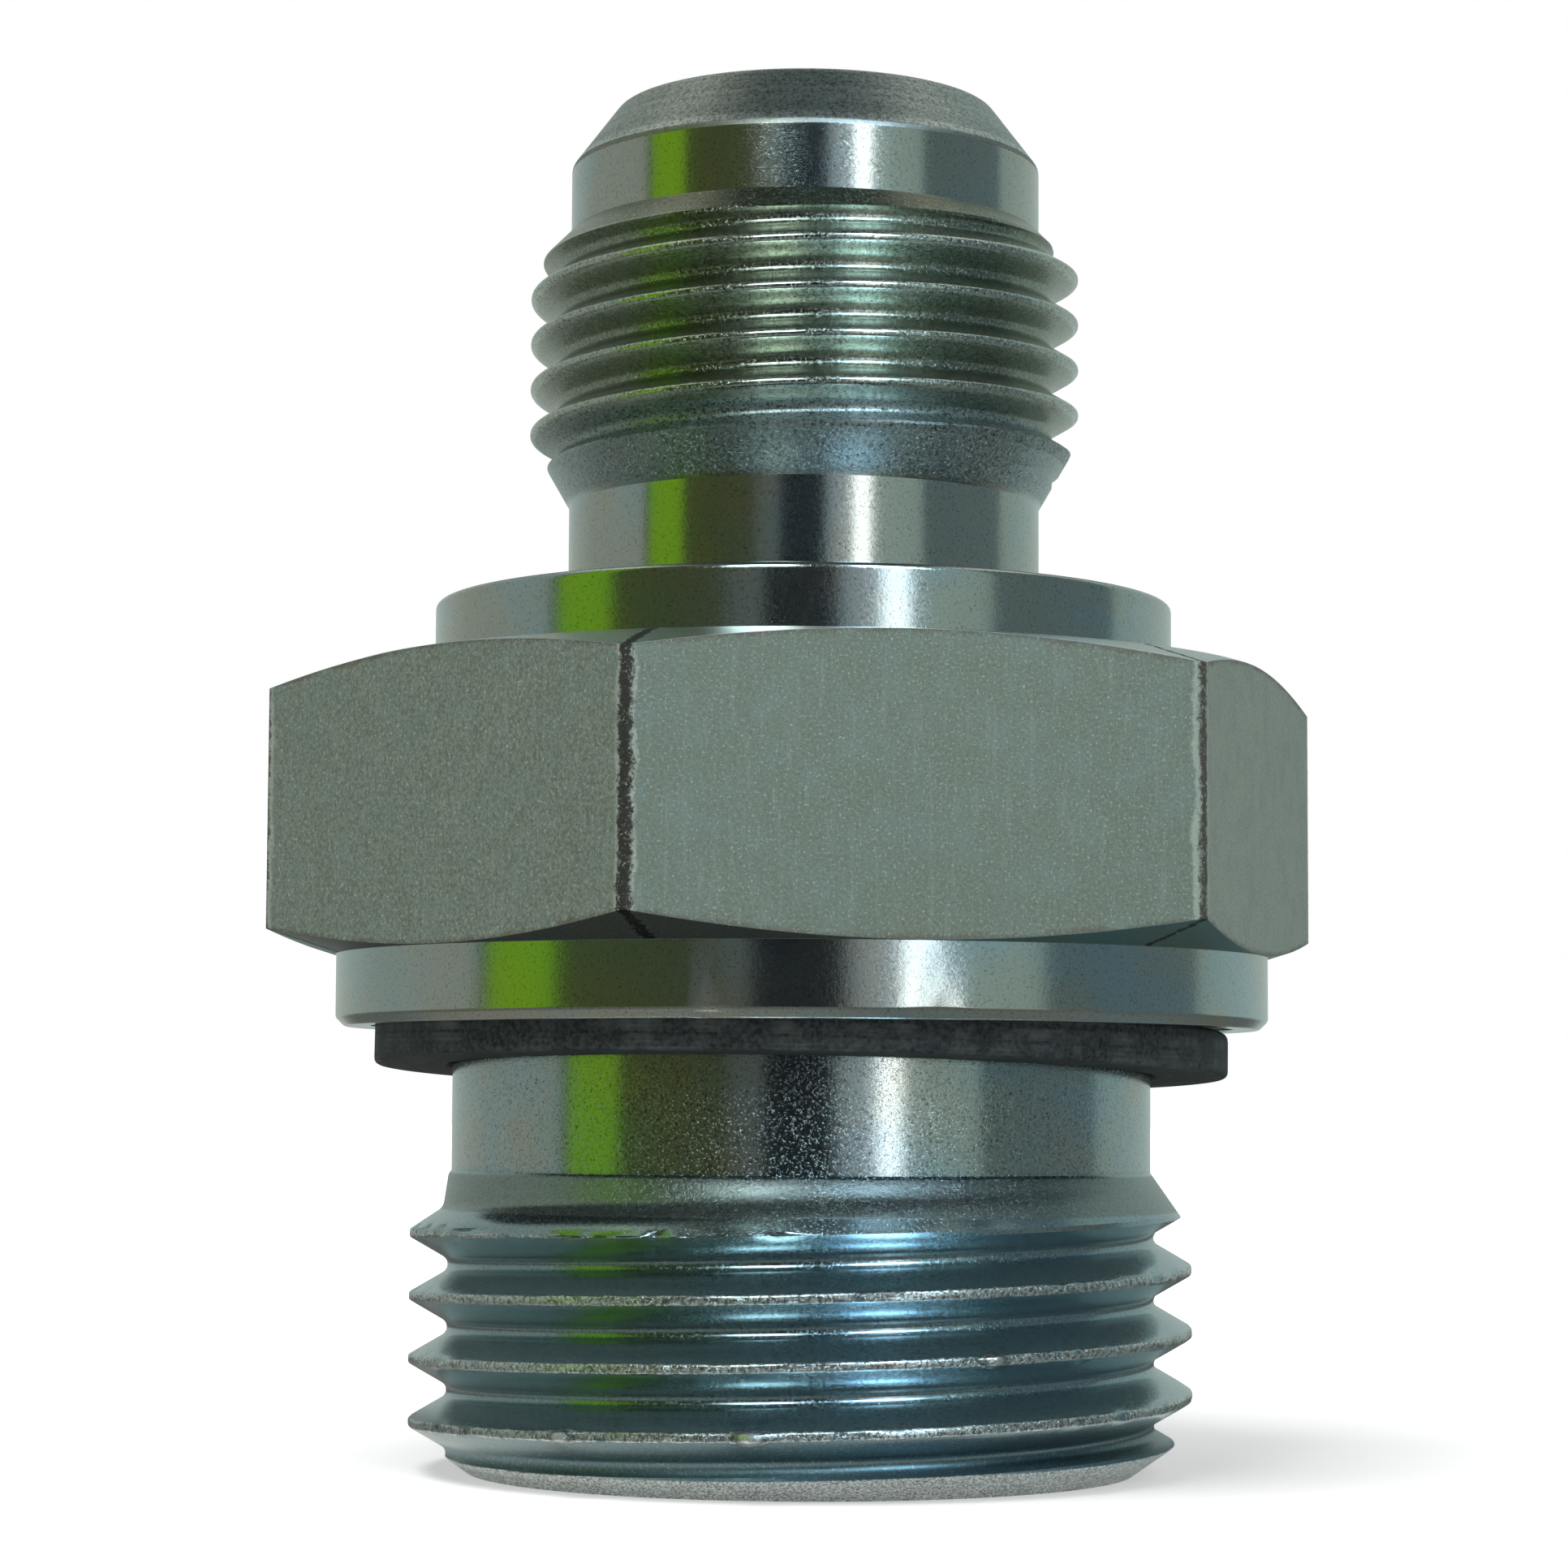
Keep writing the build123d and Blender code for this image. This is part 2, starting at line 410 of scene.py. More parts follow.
def ring_rows():
    """Section of the seal ring, which hangs down from its top plane."""
    middle = (SEAL_BORE_RADIUS + SEAL_OUTER_RADIUS) / 2
    return plain_rows(
        (middle, -SEAL_THICKNESS, 0),
        (SEAL_OUTER_RADIUS, -SEAL_THICKNESS, 0.22),
        (SEAL_OUTER_RADIUS, 0, 0.3),
        (SEAL_BORE_RADIUS, 0, 0.2),
        (SEAL_BORE_RADIUS, -SEAL_THICKNESS, 0.2),
        (middle, -SEAL_THICKNESS, 0),
    )


ROW_VALUES = ("thread", "hexagon", "rise", "tail")


def outline_mesh(name, rows):
    mesh = bpy.data.meshes.new(name)
    mesh.from_pydata([(r * MM, 0, z * MM) for r, z, *_ in rows], [], [])
    for place, value in enumerate(ROW_VALUES):
        kept = mesh.attributes.new(value, "FLOAT", "POINT")
        kept.data.foreach_set("value", [float(r[2 + place]) for r in rows])
    return mesh


# ---------------------------------------------------------------- the lathe
# Chips raised on the stud crests and nicks in the collar bevel: (degrees round from +X,
# height, spread, push outwards)
DENTS = (
    (223.0, 1.95, 0.6, 0.3),
    (250.5, 2.12, 0.7, 0.35),
    (284.0, 4.44, 0.6, 0.3),
    (246.6, 15.15, 0.4, -0.22),
    (271.7, 15.15, 0.5, -0.25),
    (290.3, 15.15, 0.4, -0.2),
)
DENTED_COLLAR = COLLAR_RADIUS - COLLAR_BEVEL * 1.5
TORN_NOISE = (1.5, 3.0, 0.6)      # scale for each mm, detail, roughness
TORN_SHARE = (0.48, 0.7)          # noise below the first leaves a crest whole
CREST_SKIN = (-0.2 * MM, -0.08 * MM)
LAST_CREST_Z = (6.6, 7.0)

LATHE_SIZES = {
    "Columns": COLUMNS,
    "Column crowding": COLUMN_CROWDING,
    "Stud pitch": STUD_PITCH * MM,
    "Stud foot height": 0.0,
    "Stud foot radius": STUD_TIP_RADIUS * MM,
    "Stud foot slope": math.tan(math.radians(STUD_CHAMFER_ANGLE)),
    "Stud head height": STUD_LENGTH * MM,
    "Stud head radius": STUD_NECK_RADIUS * MM,
    "Stud head slope": math.tan(math.radians(STUD_RUNOUT_ANGLE)),
    "Stud root radius": STUD_ROOT_RADIUS * MM,
    "Stud crest radius": STUD_THREAD_RADIUS * MM,
    "Ridge fade start": 0.17,
    "Ridge fade end": 0.40,
    "Groove fill start": 0.28,
    "Groove fill end": 0.95,
    "Tube pitch": TUBE_PITCH * MM,
    "Tube foot height": RELIEF_Z * MM,
    "Tube foot radius": RELIEF_RADIUS * MM,
    "Tube foot slope": math.tan(math.radians(RELIEF_ANGLE)),
    "Tube head height": NOSE_Z * MM,
    "Tube head radius": RELIEF_RADIUS * MM,
    "Tube head slope": math.tan(math.radians(NOSE_CHAMFER_ANGLE)),
    "Thread edge break": 0.05 * MM,
    "Torn crest depth": 0.08 * MM,
    "Torn last crest depth": 0.2 * MM,
    "Hexagon half width": HEXAGON_HALF_WIDTH * MM,
    "Hexagon corner break": HEXAGON_CORNER_BREAK * MM,
    "Hexagon chamfer rise": 1 / math.tan(math.radians(HEXAGON_CHAMFER_ANGLE)),
    "Sharp angle": math.radians(SHARP_ANGLE),
}


def empty_lathe():
    """A tree with an input for the outline and one for each size."""
    tree = bpy.data.node_groups.new("lathe", "GeometryNodeTree")
    tree.interface.new_socket("Geometry", in_out="INPUT", socket_type="NodeSocketGeometry")
    for name, size in LATHE_SIZES.items():
        kind = "NodeSocketInt" if isinstance(size, int) else "NodeSocketFloat"
        tree.interface.new_socket(name, in_out="INPUT", socket_type=kind)
    tree.interface.new_socket("Geometry", in_out="OUTPUT", socket_type="NodeSocketGeometry")
    return tree


def blank_grid(shop, outline, columns):
    """A grid of a point for each column and row, with each point's column and row index."""
    count = shop.node("GeometryNodeAttributeDomainSize", {"component": "MESH"},
                      {"Geometry": outline}).outputs["Point Count"]
    rows = Value(shop, count)
    grid = shop.node("GeometryNodeMeshGrid", {},
                     {"Vertices X": columns + 1, "Vertices Y": count})
    index = Value(shop, shop.node("GeometryNodeInputIndex").outputs[0])
    column = shop.math("FLOOR", (index + 0.5) / rows)
    line = index - column * rows + 0.25
    return grid.outputs["Mesh"], column, line


def read_outline(shop, outline, line):
    """What the outline says of a point's row: its place and then its row values."""
    def sampled(field, kind):
        made = shop.node("GeometryNodeSampleIndex", {"data_type": kind, "domain": "POINT"},
                         {"Geometry": outline, "Value": field, "Index": line})
        return made.outputs[0]

    place = sampled(shop.node("GeometryNodeInputPosition").outputs[0], "FLOAT_VECTOR")
    values = []
    for name in ROW_VALUES:
        named = shop.node("GeometryNodeInputNamedAttribute", {"data_type": "FLOAT"},
                          {"Name": name})
        values.append(Value(shop, sampled(named.outputs["Attribute"], "FLOAT")))
    return place, values


def climb(shop, size, end, radius, height, tail, turns):
    """A thread led up one pitch a turn, dying away into the cones at both of its ends."""
    led = height + size[end + " pitch"] * turns
    led = led.max(size[end + " foot height"]).min(size[end + " head height"])
    foot = (size[end + " foot radius"]
            + (led - size[end + " foot height"]) * size[end + " foot slope"])
    head = (size[end + " head radius"]
            + (size[end + " head height"] - led) * size[end + " head slope"])
    cut = shop.math("SMOOTH_MIN", radius, foot.min(head), size["Thread edge break"])
    if end == "Stud":
        cone = foot.min(head).min(size["Stud crest radius"])
        filled = turns.ramp(size["Groove fill start"], size["Groove fill end"])
        cut = cut + (cone - cut) * filled * (tail > 0.5)
    return cut, led


def tear_crests(shop, size, radius, height, angle, on_stud):
    """Stud crests torn here and there by the tool, most of all the last one."""
    crest_place = shop.vector(shop.math("COSINE", angle) * STUD_THREAD_RADIUS,
                              shop.math("SINE", angle) * STUD_THREAD_RADIUS, height / MM)
    torn = shop.noise(crest_place, *TORN_NOISE).ramp(*TORN_SHARE)
    last = (height / MM).ramp(*LAST_CREST_Z) * (size["Torn last crest depth"]
                                                - size["Torn crest depth"])
    crest = (radius - size["Stud crest radius"]).ramp(*CREST_SKIN)
    return radius - torn * crest * on_stud * (size["Torn crest depth"] + last)


def dent(shop, radius, height, angle, on_stud):
    """The chips and nicks, on the stud thread and the outside of the collar only."""
    marked = on_stud + (radius > DENTED_COLLAR * MM)
    for at, up, spread, push in DENTS:
        aside = (angle - math.radians(at)) * radius
        off = shop.distance(aside, height - up * MM)
        radius = radius + off.ramp(spread * MM, 0) * (push * MM) * marked
    return radius


def pull_to_bar(shop, size, radius, height, angle, hexagon, rise):
    """Bar rows out on the hexagon, its corners broken, under cones that start at the collar."""
    off_corner = ((angle + SIXTH / 2) % SIXTH - SIXTH / 2).abs()
    flat = size["Hexagon half width"] / shop.math("COSINE", SIXTH / 2 - off_corner)
    across_corner = size["Hexagon half width"] / math.cos(SIXTH / 2)
    corner = ((across_corner - size["Hexagon corner break"])
              / shop.math("COSINE", off_corner))
    reach = flat.min(corner) - radius
    return radius + hexagon * reach, height + rise * reach * size["Hexagon chamfer rise"]


def close_and_coat(shop, mesh, sharp_angle, finish):
    """The spun mesh with its seam merged, its sharp edges kept and its material set."""
    closed = shop.node("GeometryNodeMergeByDistance", {},
                       {"Geometry": mesh, "Distance": MERGE_DISTANCE})
    smooth = shop.node("GeometryNodeSetShadeSmooth", {"domain": "FACE"},
                       {"Geometry": closed.outputs[0], "Shade Smooth": True})
    bend = Value(shop, shop.node("GeometryNodeInputMeshEdgeAngle").outputs["Unsigned Angle"])
    crisp = shop.node("GeometryNodeSetShadeSmooth", {"domain": "EDGE"},
                      {"Geometry": smooth.outputs[0], "Selection": bend > sharp_angle,
                       "Shade Smooth": False})
    real = shop.node("GeometryNodeRealizeInstances", {}, {"Geometry": crisp.outputs[0]})
    coated = shop.node("GeometryNodeSetMaterial", {},
                       {"Geometry": real.outputs[0], "Material": finish})
    return coated.outputs[0]


def lathe_tree(finish):
    """Spins the outline round the axis: threads climb, bar stock goes out to the hexagon."""
    tree = empty_lathe()
    shop = Shop(tree)
    given = shop.node("NodeGroupInput").outputs
    size = {name: Value(shop, given[name]) for name in LATHE_SIZES}
    outline = given["Geometry"]
    grid, column, line = blank_grid(shop, outline, size["Columns"])
    place, (thread, hexagon, rise, tail) = read_outline(shop, outline, line)
    radius, _, height = shop.parts(place)

    # Columns crowd together at the corners of the hexagon
    share = column / size["Columns"]
    sway = shop.math("SINE", share * (CORNERS * 2 * math.pi)) * size["Column crowding"] / CORNERS
    angle = share * (2 * math.pi) - sway
    turns = angle / (2 * math.pi)

    # The ridge above the last stud groove dies away where the neck tool has taken it
    gone = (tail > 1.5) * turns.ramp(size["Ridge fade start"], size["Ridge fade end"])
    radius = radius + (radius.min(size["Stud root radius"]) - radius) * gone

    for number, end in ((STUD, "Stud"), (TUBE, "Tube")):
        cut, led = climb(shop, size, end, radius, height, tail, turns)
        here = shop.math("COMPARE", thread, number, SAME)
        radius = radius + (cut - radius) * here
        height = height + (led - height) * here

    on_stud = shop.math("COMPARE", thread, STUD, SAME)
    radius = tear_crests(shop, size, radius, height, angle, on_stud)
    radius = dent(shop, radius, height, angle, on_stud)
    radius, height = pull_to_bar(shop, size, radius, height, angle, hexagon, rise)

    spun = shop.vector(radius * shop.math("COSINE", angle),
                       radius * shop.math("SINE", angle), height)
    shaped = shop.node("GeometryNodeSetPosition", {}, {"Geometry": grid, "Position": spun})
    coated = close_and_coat(shop, shaped.outputs[0], size["Sharp angle"], finish)
    shop.node("NodeGroupOutput", {}, {"Geometry": coated})
    return tree


def turn(name, rows, finish):
    """A piece turned on the lathe tree from its rows, as a plain mesh."""
    blank = bpy.data.objects.new(name, outline_mesh(name + "_outline", rows))
    bpy.context.scene.collection.objects.link(blank)
    tree = lathe_tree(finish)
    lathe = blank.modifiers.new("lathe", "NODES")
    lathe.node_group = tree
    for item in tree.interface.items_tree:
        if item.in_out == "INPUT" and item.name in LATHE_SIZES:
            lathe[item.identifier] = LATHE_SIZES[item.name]
    blank.update_tag()
    bpy.context.view_layer.update()
    graph = bpy.context.evaluated_depsgraph_get()
    mesh = bpy.data.meshes.new_from_object(blank.evaluated_get(graph))
    blank.modifiers.remove(lathe)
    blank.data = mesh
    mesh.name = name
    return blank


# ---------------------------------------------------------------- where the plating changes
CRISP = 0.02
SOFT = 0.05
# Distances, radii and heights at which a finish begins and is full; a third value is how
# softly it ends on either side
PAST_COLLAR = (COLLAR_RADIUS + 0.017, COLLAR_RADIUS + 0.037)
CHAMFER_SKIN = (0.012, 0.004)
RIM_REACH = (0.2, 0)
STUD_WALL = (STUD_TIP_RADIUS - 0.35, STUD_TIP_RADIUS - 0.15)
STUD_CREST = (STUD_THREAD_RADIUS - 0.08, STUD_THREAD_RADIUS - 0.02)
STUD_GROOVE = (STUD_THREAD_RADIUS - 0.05, STUD_THREAD_RADIUS - 0.85)
STUD_HEAD_Z = (STUD_LENGTH + 0.2, STUD_LENGTH - 0.2)
END_CONE_SKIN = (-0.12, -0.04)
END_CHAMFER_Z = (1.2, 0.9)
FOOT_FLANK_Z = (2.4, 1.9)
RUNOUT_Z = 8.9
RUNOUT_WALL = (STUD_NECK_RADIUS + 0.018, STUD_NECK_RADIUS + 0.088)
NECK_WALL = (STUD_NECK_RADIUS + 0.548, STUD_NECK_RADIUS + 0.248)
BORE_WALL = (STUD_BORE_RADIUS + 0.3, STUD_BORE_RADIUS + 0.1)
RELIEF_CONE_TOP_Z = RELIEF_Z + 2.4
RELIEF_WALL = (RELIEF_RADIUS + 0.009, RELIEF_RADIUS + 0.149)
TUBE_FOOT_Z = RELIEF_Z + 1.5
TUBE_WALL = (RELIEF_RADIUS - 0.191, RELIEF_RADIUS - 0.111)
TUBE_CREST = (TUBE_THREAD_RADIUS - 0.245, TUBE_THREAD_RADIUS - 0.105)
TUBE_GROOVE = (TUBE_THREAD_RADIUS - 0.025, TUBE_THREAD_RADIUS - 0.575)
LEAD_IN_Z = NOSE_Z - 0.75
LEAD_IN_WALL = (RELIEF_RADIUS - 0.151, RELIEF_RADIUS - 0.091)
LIP_Z = (FLARE_Z - 0.1, FLARE_Z + 0.06, 0.04)
LIP_WALL = (RELIEF_RADIUS - 0.251, RELIEF_RADIUS - 0.151)
UNDERSIDE_Z = (HEXAGON_FOOT_Z + 2, HEXAGON_FOOT_Z + 1)
SEAM_REACH = (0.2, 0.06)
FRINGE_REACH = (0.2, 0.3, 0.1)
# Degrees round from +X
# The flat to the camera's right gets painted light, the flat facing the camera painted shade
PAINTED_LIGHT_FLAT = (-60, 0)
PAINTED_SHADE_FLAT = (-120, -60)
FLAT_EDGE = 0.01                  # radians
DEEP_SEAM = -120
DEEP_REACH = (0.3, 0.2)           # radians
UNDER_CHAMFER_SHADE_TURN = (-1.9, -1.4)         # radians, from the brown painted shade to the teal one
SCAR_STRETCH = 0.2                # below 1, it draws a scar out along its crest

# Noises on the finishes: scale for each mm, detail, roughness
TOOL_LINES = (7.0, 4.0, 0.65)
PEEL = (3.2, 3.0, 0.6)            # the plating's orange peel
GRAIN = (7.5, 3.0, 0.7)
SPECK = (11.0, 2.0, 0.75)
CLOUD = (0.22, 3.0, 0.55)
BLOTCH = (0.9, 4.0, 0.6)
STREAK = (1.0, 3.0, 0.6)
RUBBER_GRAIN = (6.0, 4.0, 0.65)
RUBBER_MARKS = (5.0, 3.0, 0.6)
RUBBER_CLOUD = (0.7, 4.0, 0.6)
PLATING_RELIEF = 0.006            # height of the relief in the finish for a value of 1
RUBBER_RELIEF = 0.02

# ---------------------------------------------------------------- colours of the finishes
# A pair is the dark and the pale of one grain, or two tints that change over the surface
ZINC = (rgb(0.56, 0.66, 0.68), rgb(0.64, 0.64, 0.57))
STUD_FILM = rgb(0.42, 0.56, 0.62)
# Painted shade: the stud thread's grooves a little darker than the rest of the stud
STUD_GROOVE_SHADE = rgb(0.37, 0.49, 0.53)
STUD_CREST_FILM = (rgb(0.30, 0.32, 0.30), rgb(0.86, 0.90, 0.87))
END_CONE_FILM = (rgb(0.31, 0.33, 0.32), rgb(0.84, 0.88, 0.85))
# Painted shade on the lowest flanks of the stud thread, near its foot
FOOT_FLANK_SHADE = rgb(0.11, 0.175, 0.19)
RUNOUT_FILM = rgb(0.33, 0.36, 0.32)
WORN_FILM = (rgb(0.24, 0.24, 0.22), rgb(0.70, 0.71, 0.66))
# Painted shade on the upper collar's top face, which dims what the relief cone reflects
COLLAR_TOP_SHADE = rgb(0.22, 0.24, 0.23)
RELIEF_FILM = rgb(0.45, 0.52, 0.53)
TUBE_FILM = rgb(0.47, 0.50, 0.405)
# Painted shade: the tube thread's grooves darker than the rest of the tube
TUBE_GROOVE_SHADE = rgb(0.36, 0.385, 0.30)
TUBE_CREST_FILM = rgb(0.74, 0.78, 0.70)
LEAD_IN_FILM = rgb(0.24, 0.25, 0.19)
LIP_FILM = rgb(0.27, 0.24, 0.21)
NOSE_FILM = (rgb(0.46, 0.49, 0.43), rgb(0.86, 0.90, 0.86))
BORE_FILM = rgb(0.25, 0.28, 0.27)
BAR_FILM = (rgb(0.125, 0.155, 0.12), rgb(0.225, 0.265, 0.212))
# Painted light on the flat to the camera's right, painted shade on the flat facing the camera
PAINTED_LIGHT_FLAT_FILM = rgb(0.36, 0.42, 0.35)
PAINTED_SHADE_FLAT_FILM = rgb(0.14, 0.165, 0.115)
TEAL_BLOTCH = rgb(0.17, 0.24, 0.22)
BAR_STREAK = rgb(0.28, 0.31, 0.26)
# Painted shade on the hexagon's downward chamfer, dark brown turning to teal round it
UNDER_CHAMFER_SHADE = (rgb(0.10, 0.08, 0.065), rgb(0.18, 0.40, 0.40))
RIM_FILM = rgb(0.11, 0.10, 0.075)
FRINGE_FILM = rgb(0.40, 0.44, 0.37)
SEAM_FILM = (rgb(0.075, 0.065, 0.05), rgb(0.025, 0.02, 0.014))
BRIGHT_SPECK = rgb(0.85, 0.88, 0.86)
DARK_SPECK = rgb(0.08, 0.09, 0.085)
DULL_GRAIN = rgb(0.09, 0.105, 0.095)
CHIP_SHADE = rgb(0.10, 0.12, 0.12)
CHIP_SCAR = rgb(0.90, 0.93, 0.91)
BLACK_RUBBER = (rgb(0.008, 0.011, 0.011), rgb(0.044, 0.055, 0.056))
RUBBER_BLOOM = rgb(0.085, 0.105, 0.10)


# ---------------------------------------------------------------- finishes
def material(name):
    made = bpy.data.materials.new(name)
    made.use_nodes = True
    shop = Shop(made.node_tree)
    shader = made.node_tree.nodes["Principled BSDF"]
    place = shop.node("ShaderNodeTexCoord").outputs["Object"]
    in_mm = shop.node("ShaderNodeVectorMath", {"operation": "SCALE"},
                      {0: place, "Scale": 1 / MM}).outputs[0]
    return made, shop, shader, in_mm


def bump(shop, shader, height, distance):
    made = shop.node("ShaderNodeBump", {}, {
        "Strength": 1.0, "Distance": distance * MM, "Height": height})
    shop.feed(shader.inputs["Normal"], made.outputs[0])


def spot_on_body(shop, place):
    """A point as a turner measures it, across, round and up, and its way from a corner."""
    x, y, z = shop.parts(place)
    radius = shop.distance(x, y)
    angle = shop.math("ARCTAN2", y, x)
    from_corner = ((angle + SIXTH / 2) % SIXTH - SIXTH / 2).abs() * radius
    return SimpleNamespace(x=x, y=y, z=z, radius=radius, angle=angle, from_corner=from_corner)


def plating_marks(shop, place, spot):
    """The noises that the finishes share, from fine specks to clouds."""
    # Tool lines run round walls and faces alike, and streaks up along the bar
    lines = shop.vector(0, 0, spot.z + spot.radius * 0.73)
    drawn = shop.vector(spot.x * 4.0, spot.y * 4.0, spot.z * 0.4)
    grain = shop.noise(place, *GRAIN)
    return SimpleNamespace(
        tool=shop.noise(lines, *TOOL_LINES),
        peel=shop.noise(place, *PEEL),
        grain=grain,
        ragged=(grain - 0.5) * 0.3,
        speck=shop.noise(place, *SPECK),
        cloud=shop.noise(place, *CLOUD),
        blotch=shop.noise(place, *BLOTCH),
        streak=shop.noise(drawn, *STREAK),
    )


def bar_areas(area, spot, marks):
    """Flats, chamfers, rims and corner seams of the hexagon."""
    z, radius = spot.z, spot.radius
    bar = z.window(HEXAGON_FOOT_Z + CRISP, HEXAGON_TOP_Z - CRISP, CRISP)
    over_bar = bar * radius.ramp(*PAST_COLLAR)
    chamfer_rise = (radius - COLLAR_RADIUS) / math.tan(math.radians(HEXAGON_CHAMFER_ANGLE))
    above_chamfer = z - HEXAGON_FOOT_Z - chamfer_rise
    below_chamfer = HEXAGON_TOP_Z - z - chamfer_rise
    off_chamfer = above_chamfer.min(below_chamfer)
    wander = (marks.blotch - 0.5) * 0.5
    area.chamfer = over_bar * off_chamfer.ramp(*CHAMFER_SKIN)
    area.flats = over_bar * (1 - area.chamfer)
    area.rim = area.flats * (off_chamfer + wander + marks.ragged).ramp(*RIM_REACH)
    area.fringe = area.flats * (spot.from_corner + wander + marks.ragged).window(*FRINGE_REACH)
    area.underside = z.ramp(*UNDERSIDE_Z)
    area.deep = (spot.angle - math.radians(DEEP_SEAM)).abs().ramp(*DEEP_REACH)
    off_seam = (spot.from_corner + (marks.peel - 0.5) * 0.5 + marks.ragged * 1.5
                - area.deep * 0.08)
    area.seam = bar * off_seam.ramp(*SEAM_REACH)


def stud_areas(area, spot, marks):
    """Crests, grooves and cones of the stud end, its neck and the bore."""
    z, radius = spot.z, spot.radius
    end_cone_radius = STUD_TIP_RADIUS + z * math.tan(math.radians(STUD_CHAMFER_ANGLE))
    runout = z.window(RUNOUT_Z, STUD_LENGTH - SOFT, 0.1) * radius.ramp(*RUNOUT_WALL)
    area.stud = z.ramp(*STUD_HEAD_Z) * radius.ramp(*STUD_WALL)
    area.stud_crest = area.stud * (radius + marks.ragged * 0.6).ramp(*STUD_CREST)
    area.stud_groove = area.stud * radius.ramp(*STUD_GROOVE)
    area.end_cone = area.stud * (radius - end_cone_radius).ramp(*END_CONE_SKIN)
    area.end_chamfer = area.stud * z.ramp(*END_CHAMFER_Z)
    area.runout = runout * (1 - area.stud_crest)
    area.worn = (area.stud_crest * 0.75).max(area.end_cone).max(runout * 0.35)
    # Where painted shade darkens the lowest stud flanks
    area.foot_flank = area.stud * z.ramp(*FOOT_FLANK_Z) * (1 - area.worn)
    area.neck_wall = z.window(STUD_LENGTH, RECESS_Z, SOFT) * radius.ramp(*NECK_WALL)
    area.inside = radius.ramp(*BORE_WALL)


def tube_areas(area, spot, marks):
    """The upper collar's top, the relief, the tube thread and the nose."""
    z, radius = spot.z, spot.radius
    area.collar_top = z.window(UPPER_COLLAR_Z - SOFT, UPPER_COLLAR_Z + CRISP, CRISP)
    area.relief = z.window(RELIEF_Z, RELIEF_CONE_TOP_Z, SOFT) * radius.ramp(*RELIEF_WALL)
    area.tube = z.window(TUBE_FOOT_Z, NOSE_Z - SOFT, SOFT) * radius.ramp(*TUBE_WALL)
    area.tube_crest = area.tube * (radius + marks.ragged).ramp(*TUBE_CREST)
    area.tube_groove = area.tube * radius.ramp(*TUBE_GROOVE)
    area.lead_in = z.window(LEAD_IN_Z, NOSE_Z - CRISP, SOFT) * radius.ramp(*LEAD_IN_WALL)
    area.lip = z.window(*LIP_Z) * radius.ramp(*LIP_WALL)
    area.nose = z.ramp(FLARE_Z - CRISP, FLARE_Z + SOFT)


def turned_film(shop, area, marks):
    """Colour of the plating on all that was turned, with painted shade in the thread grooves, on
    the lowest stud flanks and on the upper collar's top face.
    """
    zinc = shop.colour_mix(marks.cloud.ramp(0.38, 0.62), *ZINC)
    nose = shop.colour_mix((marks.tool + marks.ragged * 2.5).ramp(0.34, 0.66), *NOSE_FILM)
    worn = shop.colour_mix(marks.speck.ramp(0.35, 0.65), *WORN_FILM)
    stud_crest = shop.colour_mix(marks.grain.ramp(0.38, 0.55), *STUD_CREST_FILM)
    end_cone = shop.colour_mix(marks.speck.ramp(0.35, 0.65), *END_CONE_FILM)
    return shop.layered(zinc, (
        (area.stud * 0.7, STUD_FILM),
        # painted shade in the stud thread's grooves
        (area.stud_groove * 0.75, STUD_GROOVE_SHADE),
        (area.tube * 0.7, TUBE_FILM),
        # painted shade in the tube thread's grooves
        (area.tube_groove * 0.8, TUBE_GROOVE_SHADE),
        (area.relief * 0.7, RELIEF_FILM),
        (area.nose, nose),
        (area.worn * 0.8, worn),
        (area.stud_crest * 0.7, stud_crest),
        (area.end_cone * 0.8, end_cone),
        # painted shade on the lowest stud flanks
        (area.foot_flank * 0.85, FOOT_FLANK_SHADE),
        (area.lip * 0.7, LIP_FILM),
        (area.runout * 0.6, RUNOUT_FILM),
        (area.tube_crest * 0.7, TUBE_CREST_FILM),
        # painted shade on the upper collar's top face
        (area.collar_top * 0.7, COLLAR_TOP_SHADE),
        (area.lead_in * 0.6, LEAD_IN_FILM),
    ))


def bar_film(shop, spot, marks):
    """Colour of the drawn bar on the flats, with painted light on the flat to the camera's right
    and painted shade on the flat that faces the camera.
    """
    painted_light_flat, front = (spot.angle.window(math.radians(start), math.radians(end), FLAT_EDGE)
                   for start, end in (PAINTED_LIGHT_FLAT, PAINTED_SHADE_FLAT))
    drawn = shop.colour_mix(marks.grain.ramp(0.35, 0.65), *BAR_FILM)
    return shop.layered(drawn, (
        # painted light on the flat to the camera's right, painted shade on the flat facing it
        (painted_light_flat * 0.6, PAINTED_LIGHT_FLAT_FILM),
        (front * 0.6, PAINTED_SHADE_FLAT_FILM),
        (marks.blotch.ramp(0.4, 0.7) * 0.35, TEAL_BLOTCH),
        (marks.streak.ramp(0.5, 0.75) * 0.3, BAR_STREAK),
    ))


def chip_marks(shop, spot, marks):
    """The bright scar of each chip on the stud and the shade round it."""
    scar = shade = 0
    for at, level, spread, push in DENTS:
        if push > 0:
            aside = (spot.angle - math.radians(at - 360)) * STUD_THREAD_RADIUS
            above = spot.z - level
            off = shop.math("SQRT", aside * aside * SCAR_STRETCH + above * above)
            off = off + marks.ragged * 0.5
            scar = off.ramp(spread * 0.3, spread * 0.15).max(scar)
            shade = off.ramp(spread * 0.5, spread * 0.3).max(shade)
    return scar, shade


